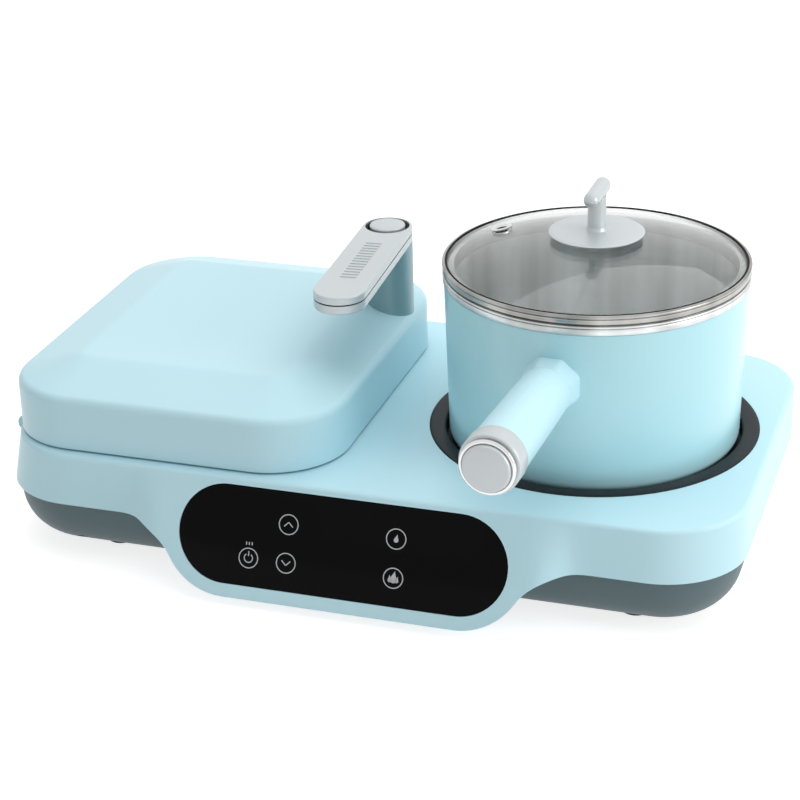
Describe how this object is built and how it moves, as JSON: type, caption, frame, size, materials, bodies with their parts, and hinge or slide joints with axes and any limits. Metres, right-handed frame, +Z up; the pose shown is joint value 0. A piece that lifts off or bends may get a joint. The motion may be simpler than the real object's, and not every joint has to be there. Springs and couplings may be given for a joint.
{
  "type": "breakfast station",
  "caption": "Countertop breakfast station: a hinged sandwich grill, a hotplate with a lidded pot and a touch panel on one base.",
  "frame": {"origin": "bottom centre of the bounding box, on the bench", "axes": "+X to the right along the base, from the grill to the hotplate; +Y to the back, away from the touch panel; +Z up"},
  "size_m": [0.412, 0.3058, 0.2029],
  "materials": {
    "pale_blue_plastic": "semi-gloss moulded",
    "pale_blue_enamel": "gloss enamel",
    "slate_plastic": "fine moulded texture",
    "column_plastic": "satin painted",
    "dark_trim": "satin",
    "ring_plastic": "satin",
    "window_black": "high gloss",
    "silver_satin": "satin metallic",
    "steel": "brushed",
    "bright_steel": "polished",
    "clear_glass": "clear tempered",
    "nonstick": "non-stick coating",
    "cast_alloy": "cast",
    "element_sheath": "oxidised",
    "pan_sheet": "pressed sheet",
    "foot_rubber": "matte",
    "gasket_rubber": "translucent silicone",
    "board_green": "solder mask",
    "component_black": "moulded",
    "terminal_nylon": "nylon"
  },
  "bodies": {
    "base": {"base_housing": "pale_blue_plastic", "control_window": "window_black", "touch_board": "board_green", "touch_sensor_pads": "bright_steel", "bottom_tub": "slate_plastic", "rubber_feet": "foot_rubber", "housing_screws": "steel", "hotplate_ring": "ring_plastic", "hotplate": "cast_alloy", "hotplate_element": "element_sheath", "hotplate_sensor": "steel", "hotplate_dish": "pan_sheet", "lower_grill_plate": "nonstick", "lower_grill_element": "element_sheath", "lower_grill_pan": "pan_sheet", "grill_thermostat": "steel", "hinge_pins": "steel", "power_board": "board_green", "board_components": "component_black", "cord_gland": "dark_trim", "terminal_block": "terminal_nylon"},
    "grill_lid": {"lid_cover": "pale_blue_plastic", "lid_inner_frame": "dark_trim", "upper_grill_plate": "nonstick", "upper_grill_element": "element_sheath", "upper_grill_pan": "pan_sheet", "lid_screws": "steel", "handle_column": "column_plastic", "column_screws": "steel", "handle_arm_lower": "silver_satin", "handle_seam_strip": "dark_trim", "handle_arm_cover": "silver_satin", "latch_bracket": "steel"},
    "button": {"release_button": "silver_satin", "push_rod": "steel", "button_spring": "steel"},
    "latch": {"latch_slider": "steel"},
    "pot": {"pot_vessel": "steel", "pot_base_disc": "cast_alloy", "pot_jacket": "pale_blue_enamel", "pot_handle_socket": "pale_blue_plastic", "pot_handle_grip": "pale_blue_plastic", "pot_handle_sleeve": "silver_satin", "pot_handle_ring": "bright_steel", "pot_handle_cap": "silver_satin", "pot_handle_rod": "steel"},
    "glass_lid": {"glass_lid_rim": "steel", "glass_pane": "clear_glass", "vent_eyelet": "bright_steel", "knob_gasket": "gasket_rubber", "knob_disc": "silver_satin", "knob_stem": "silver_satin", "knob_bar": "silver_satin", "knob_washer": "gasket_rubber", "knob_screw": "steel"}
  },
  "joints": [
    {"name": "grill_lid_hinge", "type": "hinge", "parent": "base", "child": "grill_lid", "pos_m": [-0.1985, 0.02943, 0.063], "axis": [0, -1, 0], "range_deg": [0, 100]},
    {"name": "button_press", "type": "slide", "parent": "grill_lid", "child": "button", "axis": [0, 0, -1], "range_m": [0, 0.003], "stiffness_N_per_m": 400, "springref_m": -0.002, "deforming": ["button_spring"]},
    {"name": "latch_slide", "type": "slide", "parent": "grill_lid", "child": "latch", "axis": [-1, 0, 0], "range_m": [0, 0.003]},
    {"name": "pot_lift", "type": "slide", "parent": "base", "child": "pot", "axis": [0, 0, 1], "range_m": [0, 0.15]},
    {"name": "glass_lid_lift", "type": "slide", "parent": "pot", "child": "glass_lid", "axis": [0, 0, 1], "range_m": [0, 0.06]}
  ],
  "couplings": [
    {"joint": "latch_slide", "follows": "button_press", "ratio": 1}
  ]
}
